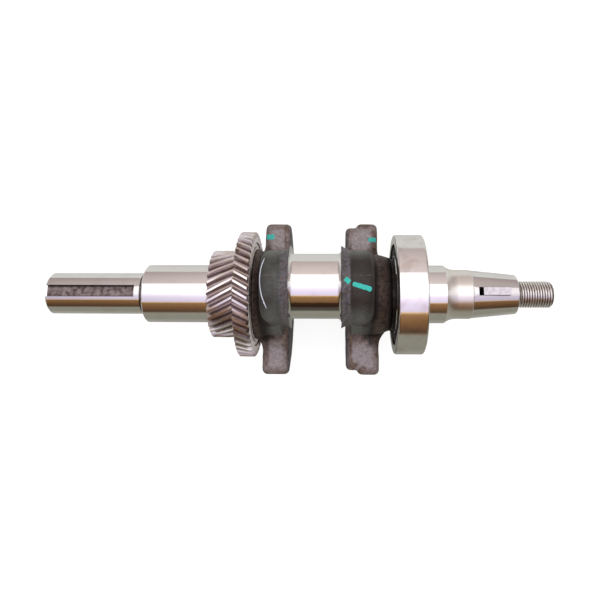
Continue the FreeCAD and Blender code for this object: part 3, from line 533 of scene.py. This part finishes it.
def cage_nylon(name):
    s = Shader(name)
    cloud = s.noise(0.25, 4.0)
    grain = s.noise(5.0, 3.0, (1, 1, 1), 0.6, 6.0)
    colour = s.mix(cloud, (0.012, 0.012, 0.013), (0.026, 0.025, 0.026))
    return s.finish(colour, s.ramp(grain, 0.3, 0.7, 0.38, 0.55), 0.0, s.bump(grain, 0.02, 0.4))


def key_steel(name):
    s = Shader(name)
    draw = s.noise(3.0, 2.0, (0.06, 1, 1), 0.6)
    cloud = s.noise(0.5, 3.0, (1, 1, 1), 0.5, 5.0)
    colour = s.mix(s.ramp(cloud, 0.4, 0.65), (0.60, 0.56, 0.60), (0.50, 0.46, 0.49))
    # painted shade: dark lines along the key's sides
    rim = s.ramp(s.math("ABSOLUTE", s.y), 2.05 * MM, 2.45 * MM)
    colour = s.mix(s.math("MULTIPLY", rim, 0.85), colour, (0.10, 0.085, 0.085))
    return s.finish(colour, s.ramp(draw, 0.3, 0.7, 0.26, 0.38), 1.0, s.bump(draw, 0.01, 0.3))


def paint(name, tone, thin):
    # inspection marker: uneven film, thin at its ends
    s = Shader(name)
    film = s.noise(1.3, 4.0, (1, 1, 1), 0.6)
    colour = s.mix(s.ramp(film, 0.35, 0.7), tone, thin)
    return s.finish(colour, s.ramp(film, 0.3, 0.7, 0.35, 0.6), 0.0, s.bump(film, 0.03, 0.6))


# ---------------------------------------------------------------- forging, cut from the CAD solid
def link(obj, body="crank"):
    bpy.context.scene.collection.objects.link(obj)
    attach(obj, body)
    return obj


def welded_copy(node, name):
    mesh = frame["nodes"][node].data.copy()
    mesh.name = name
    work = bmesh.new()
    work.from_mesh(mesh)
    bmesh.ops.remove_doubles(work, verts=work.verts, dist=1e-6)
    work.to_mesh(mesh)
    work.free()
    return mesh


def is_machined(centre):
    # the two shaft ends, the crankpin and the thrust faces beside it
    if centre.x < GEAR_FACE_X + 0.02 * MM or centre.x > RING_FACE_X - 2.4 * MM:
        return True
    return abs(centre.x - PIN_X) < PIN_HALF + 0.03 * MM


def finish_of(face):
    # the finish of a machined face, from its place (radius and height in millimetres) and slope
    centre = face.calc_center_median()
    from_pin = (centre.x - PIN_X) / MM
    from_ring = (centre.x - RING_FACE_X) / MM
    across = math.hypot(centre.y, centre.z) / MM
    aside = abs(centre.y) / MM
    height = centre.z / MM
    if from_pin > THREAD_START and across > 6.5:
        return THREADED
    # faces given the black of painted shade: the shoulder by the bearing and the journal's step
    if -2.6 < from_ring < 0 and across > 17.6:
        return SHADED
    if JOURNAL_STEP[0] < from_pin < JOURNAL_STEP[1] and across < 16.6:
        return SHADED
    if NECK[0] < from_pin < NECK[1]:
        return SATIN
    if from_pin < KEYWAY_LIMIT and aside < 3.6 and 8 < height < 11.9:
        return MILLED
    if KEY_SEAT[0] < from_pin < KEY_SEAT[1] and aside < 2.6 and height > 0:
        if height < 12 or abs(face.normal.x) > 0.25 or abs(face.normal.y) > 0.9:
            return MILLED
    return SATIN if abs(face.normal.x) > 0.9 and across < 12 else GROUND


def machined_piece(finishes):
    # every turned, ground or milled face of the CAD solid, with the CAD's own normals
    mesh = frame["nodes"]["crankshaft_forging"].data.copy()
    mesh.name = "machined_faces"
    mesh.materials.clear()
    for material in finishes:
        mesh.materials.append(material)
    normals = np.empty(len(mesh.loops) * 3, np.float32)
    mesh.corner_normals.foreach_get("vector", normals)
    keep = mesh.attributes.new("cad_normal", "FLOAT_VECTOR", "CORNER")
    keep.data.foreach_set("vector", normals)
    work = bmesh.new()
    work.from_mesh(mesh)
    skin = [f for f in work.faces if not is_machined(f.calc_center_median())]
    bmesh.ops.delete(work, geom=skin, context="FACES")
    for face in work.faces:
        face.smooth = True
        face.material_index = finish_of(face)
    work.to_mesh(mesh)
    work.free()
    kept = np.empty(len(mesh.loops) * 3, np.float32)
    mesh.attributes["cad_normal"].data.foreach_get("vector", kept)
    mesh.normals_split_custom_set(kept.reshape(-1, 3).tolist())
    mesh.attributes.remove(mesh.attributes["cad_normal"])
    return link(bpy.data.objects.new("machined_surfaces", mesh))


def neighbour_mean(count, edges, values):
    # mean of each vertex's neighbours, for one number or one point per vertex
    number = np.bincount(edges.ravel(), minlength=count)
    columns = values.reshape(count, -1)
    total = np.empty_like(columns)
    for k in range(columns.shape[1]):
        total[:, k] = np.bincount(edges[:, 0], columns[edges[:, 1], k], count)
        total[:, k] += np.bincount(edges[:, 1], columns[edges[:, 0], k], count)
    return (total / np.maximum(number, 1)[:, None]).reshape(values.shape)


def smooth_step(value, start, stop):
    share = np.clip((value - start) / (stop - start), 0, 1)
    return share * share * (3 - 2 * share)


def remeshed_webs():
    # the webs cut off the shaft ends of the CAD solid, in even fine cells
    mesh = welded_copy("crankshaft_forging", "forged_webs")
    work = bmesh.new()
    work.from_mesh(mesh)
    for place, direction in ((GEAR_FACE_X + 0.25 * MM, -1), (RING_FACE_X - RING_SHOULDER, 1)):
        everything = list(work.verts) + list(work.edges) + list(work.faces)
        cut = bmesh.ops.bisect_plane(work, geom=everything, plane_co=(place, 0, 0),
                                     plane_no=(direction, 0, 0), clear_outer=True)
        rim = [e for e in cut["geom_cut"] if isinstance(e, bmesh.types.BMEdge)]
        bmesh.ops.edgeloop_fill(work, edges=rim)
    work.to_mesh(mesh)
    work.free()
    source = bpy.data.objects.new("forging_source", mesh)
    bpy.context.scene.collection.objects.link(source)
    voxels = source.modifiers.new("voxels", "REMESH")
    voxels.mode = "VOXEL"
    voxels.voxel_size = VOXEL
    graph = bpy.context.evaluated_depsgraph_get()
    fine = bpy.data.meshes.new_from_object(source.evaluated_get(graph))
    bpy.data.objects.remove(source)
    fine.name = "forged_webs"
    return fine


def forged_skin(material):
    # the webs softened like a forging, with the masks for its colours and its waved surface
    fine = remeshed_webs()
    count = len(fine.vertices)
    flat = np.empty(count * 3)
    fine.vertices.foreach_get("co", flat)
    at = flat.reshape(-1, 3).copy()
    pairs = np.empty(len(fine.edges) * 2, int)
    fine.edges.foreach_get("vertices", pairs)
    edges = pairs.reshape(-1, 2)

    across = np.hypot(at[:, 1], at[:, 2])
    from_pin = np.hypot(at[:, 1], at[:, 2] - PIN_Z)
    side = np.abs(at[:, 0] - PIN_X)
    # the roots where each boss runs into its web are blended much more than the edges
    boss_end = np.where(at[:, 0] < PIN_X, PIN_X - GEAR_FACE_X, RING_FACE_X - PIN_X - RING_SHOULDER)
    near_root = smooth_step(across, 40 * MM, 34 * MM) * smooth_step(side, 27 * MM, 30 * MM)
    near_root *= smooth_step(boss_end - side, 0, 2 * MM)
    rim = smooth_step(side, 17.5 * MM, 15.5 * MM) * smooth_step(from_pin, 20 * MM, 21.5 * MM)
    for turn in range(ROOT_PASSES):
        mean = neighbour_mean(count, edges, at)
        share = 0.5 * near_root if turn >= EDGE_PASSES else np.full(count, 0.5)
        share = share * (1 - 0.92 * rim)
        at += (mean - at) * share[:, None]
    fine.vertices.foreach_set("co", at.ravel())
    fine.update()
    normals = np.empty(count * 3)
    fine.vertices.foreach_get("normal", normals)
    normals = normals.reshape(-1, 3)

    # how convex the surface is, spread over a few millimetres
    bend = np.einsum("ij,ij->i", normals, at - neighbour_mean(count, edges, at))
    for _ in range(BEND_PASSES):
        bend = 0.5 * bend + 0.5 * neighbour_mean(count, edges, bend)
    bend /= BEND_SCALE
    shades = {
        "edge": np.clip(bend, 0, 1),
        "root": np.clip(-bend * 2.1, 0, 1),
        "lobe": smooth_step(at[:, 2], -9 * MM, -3 * MM),
    }
    shades["boss"] = smooth_step(side, 29.5 * MM, 32 * MM) * smooth_step(across, 36 * MM, 28 * MM)
    shades["collar"] = smooth_step(side, 19.4 * MM, 18.4 * MM) * smooth_step(from_pin, 19 * MM, 20.4 * MM)
    for name, values in shades.items():
        layer = fine.attributes.new(name, "FLOAT", "POINT")
        layer.data.foreach_set("value", values.astype(np.float32))

    # gentle waves left by the dies; machined zones sink under the CAD faces that cover them
    machined = ((side < PIN_HALF + 0.3 * MM) & (from_pin < 24 * MM)).astype(float)
    for i in range(count):
        spot = Vector(at[i]) / MM
        wave = sum(noise.noise(spot * rate + Vector(move)) * size for rate, size, move in DIE_WAVES)
        shift = (wave - 0.10) * (1 - machined[i]) - 0.35 * machined[i]
        at[i] += normals[i] * shift * MM
    fine.vertices.foreach_set("co", at.ravel())
    fine.update()
    fine.materials.clear()
    fine.materials.append(material)
    fine.shade_smooth()
    piece = bpy.data.objects.new("forged_webs", fine)
    return link(piece)


# ---------------------------------------------------------------- marks on the forging
def brush_mark(name, tree, spine, width, material, lift=0.05, seed=1):
    # a stroke laid on the forging from above: a strip of cells dropped on to the surface
    work = bmesh.new()
    steps = 40
    across = 10
    spine = [Vector((*p, 0)) * MM for p in spine]
    lengths = [0.0]
    for a, b in zip(spine, spine[1:]):
        lengths.append(lengths[-1] + (b - a).length)
    rows = []
    for i in range(steps + 1):
        want = lengths[-1] * i / steps
        k = max(j for j in range(len(spine) - 1) if lengths[j] <= want + 1e-12)
        share = (want - lengths[k]) / (lengths[k + 1] - lengths[k])
        centre = spine[k].lerp(spine[k + 1], share)
        along = (spine[k + 1] - spine[k]).normalized()
        sideways = Vector((-along.y, along.x, 0))
        end = min(i, steps - i) / steps
        half = width * MM / 2 * min(1.0, math.sqrt(end * 14 + 0.10))
        row = []
        for j in range(across + 1):
            part = j / across * 2 - 1
            ragged = 1 + 0.20 * noise.noise(Vector((want / MM * 1.4, part * 1.5, seed * 5.0)))
            point = PIN_OFFSET + centre + sideways * (part * half * ragged)
            hit, normal, _, _ = tree.ray_cast(Vector((point.x, point.y, 0.09)), Vector((0, 0, -1)))
            if hit is None:
                row.append(None)
                continue
            rim = min(1.0, (1 - abs(part)) * 5, end * 20 + 0.1)
            row.append(work.verts.new(hit + normal * (lift * (0.25 + 0.75 * rim)) * MM))
        rows.append(row)
    for i in range(steps):
        for j in range(across):
            corners = [rows[i][j], rows[i + 1][j], rows[i + 1][j + 1], rows[i][j + 1]]
            if all(corners) and max(c.co.z for c in corners) - min(c.co.z for c in corners) < 2.5 * MM:
                work.faces.new(corners)
    mesh = bpy.data.meshes.new(name)
    bmesh.ops.recalc_face_normals(work, faces=work.faces)
    for face in work.faces:
        face.smooth = True
        if face.normal.z < 0:
            face.normal_flip()
    work.to_mesh(mesh)
    work.free()
    mesh.materials.append(material)
    return link(bpy.data.objects.new(name, mesh))


def repaint(node, material):
    data = frame["nodes"][node].data
    for i in range(len(data.materials)):
        data.materials[i] = material
    if not data.materials:
        data.materials.append(material)


add_camera()
add_world()
add_floor()
bpy.context.scene.view_settings.view_transform = "Standard"

ground = ground_steel("ground_steel")
milled = milled_steel("milled_steel")
skin = forged_steel("forged_skin")
satin = ground_steel("satin_steel", (0.90, 0.87, 0.82), 0.20)
thread = thread_steel("thread_steel")
shaded_black = shadowed_steel("shaded_black_steel")
machined = machined_piece([ground, milled, thread, shaded_black, satin])
webs = forged_skin(skin)
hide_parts("crankshaft_forging")
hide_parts("crankshaft_forging")

for gear, (tip_rad, root_rad) in GEAR_RADII.items():
    repaint(gear, gear_steel(gear + "_steel", tip_rad * MM, root_rad * MM))
ring = ring_steel("bearing_steel")
repaint("bearing_outer_ring", ring)
repaint("bearing_inner_ring", ring_steel("inner_ring_steel", shaded_black=True))
repaint("ball_cage", cage_nylon("cage_nylon"))
repaint("woodruff_key", key_steel("key_steel"))
mirror = ball_steel("ball_steel")
for number in range(1, 10):
    repaint("ball_%d" % number, mirror)

graph = bpy.context.evaluated_depsgraph_get()
surface = BVHTree.FromObject(webs, graph)
teal = paint("teal_marker", (0.015, 0.49, 0.42), (0.025, 0.34, 0.31))
chalk = paint("white_chalk", (0.66, 0.68, 0.80), (0.36, 0.37, 0.45))
left, right = WEB_OUTER
left_dab = [(left + 1, 0.8 * EAR_REACH), (left + 6, 0.8 * EAR_REACH)]
right_dab = [(right - 6, 0.76 * EAR_REACH), (right - 1, 0.76 * EAR_REACH)]
collar_dab = [(COLLAR + 2, 1), (COLLAR + 4.5, -1)]
lobe_dab = [(COLLAR + 6, -1.5), (COLLAR + 16, -4.5)]
brush_mark("teal_mark_left_ear", surface, left_dab, 3.3, teal, seed=1)
brush_mark("teal_mark_right_ear", surface, right_dab, 2.9, teal, seed=2)
brush_mark("teal_mark_collar", surface, collar_dab, 2.6, teal, seed=3)
brush_mark("teal_mark_lobe", surface, lobe_dab, 2.5, teal, seed=4)
# the chalk bows like the lobe's outer edge
bow = [(left + 5.7 + 0.015 * (y - 1.5) ** 2, y) for y in range(13, -15, -3)]
brush_mark("chalk_line", surface, bow, 0.55, chalk, 0.04, seed=5)
